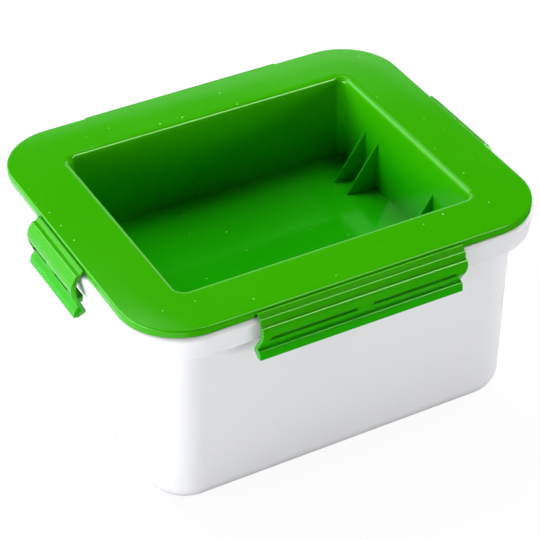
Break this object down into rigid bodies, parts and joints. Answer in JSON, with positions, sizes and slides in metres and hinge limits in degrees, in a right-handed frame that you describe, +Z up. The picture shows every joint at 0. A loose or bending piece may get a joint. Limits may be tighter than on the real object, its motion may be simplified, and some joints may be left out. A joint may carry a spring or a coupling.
{
  "type": "tofu press",
  "caption": "Snap-lock tofu press: white box, slotted inner basket, green lid whose deep well presses the block and takes weights, and snap latches on living hinges.",
  "frame": {"origin": "centre of the box's underside, on the surface it stands on", "axes": "+Z up, +X along the long side, -Y towards the front side"},
  "size_m": [0.1811, 0.1512, 0.0904],
  "materials": {
    "white_plastic": "satin",
    "basket_plastic": "satin",
    "green_plastic": "gloss",
    "silicone": "matte"
  },
  "bodies": {
    "box": {"outer_box": "white_plastic", "strainer_basket": "basket_plastic", "press_lid": "green_plastic", "lid_seal": "silicone"},
    "front_latch": {"latch_front": "green_plastic"},
    "right_latch": {"latch_right": "green_plastic"},
    "back_latch": {"latch_back": "green_plastic"},
    "left_latch": {"latch_left": "green_plastic"}
  },
  "joints": [
    {"name": "front_latch_hinge", "type": "hinge", "parent": "box", "child": "front_latch", "pos_m": [0, -0.07135, 0.08875], "axis": [-1, 0, 0], "range_deg": [0, 105]},
    {"name": "right_latch_hinge", "type": "hinge", "parent": "box", "child": "right_latch", "pos_m": [0.08585, 0, 0.08875], "axis": [0, -1, 0], "range_deg": [0, 105]},
    {"name": "back_latch_hinge", "type": "hinge", "parent": "box", "child": "back_latch", "pos_m": [0, 0.07135, 0.08875], "axis": [1, 0, 0], "range_deg": [0, 105]},
    {"name": "left_latch_hinge", "type": "hinge", "parent": "box", "child": "left_latch", "pos_m": [-0.08585, 0, 0.08875], "axis": [0, 1, 0], "range_deg": [-9, 96]}
  ]
}
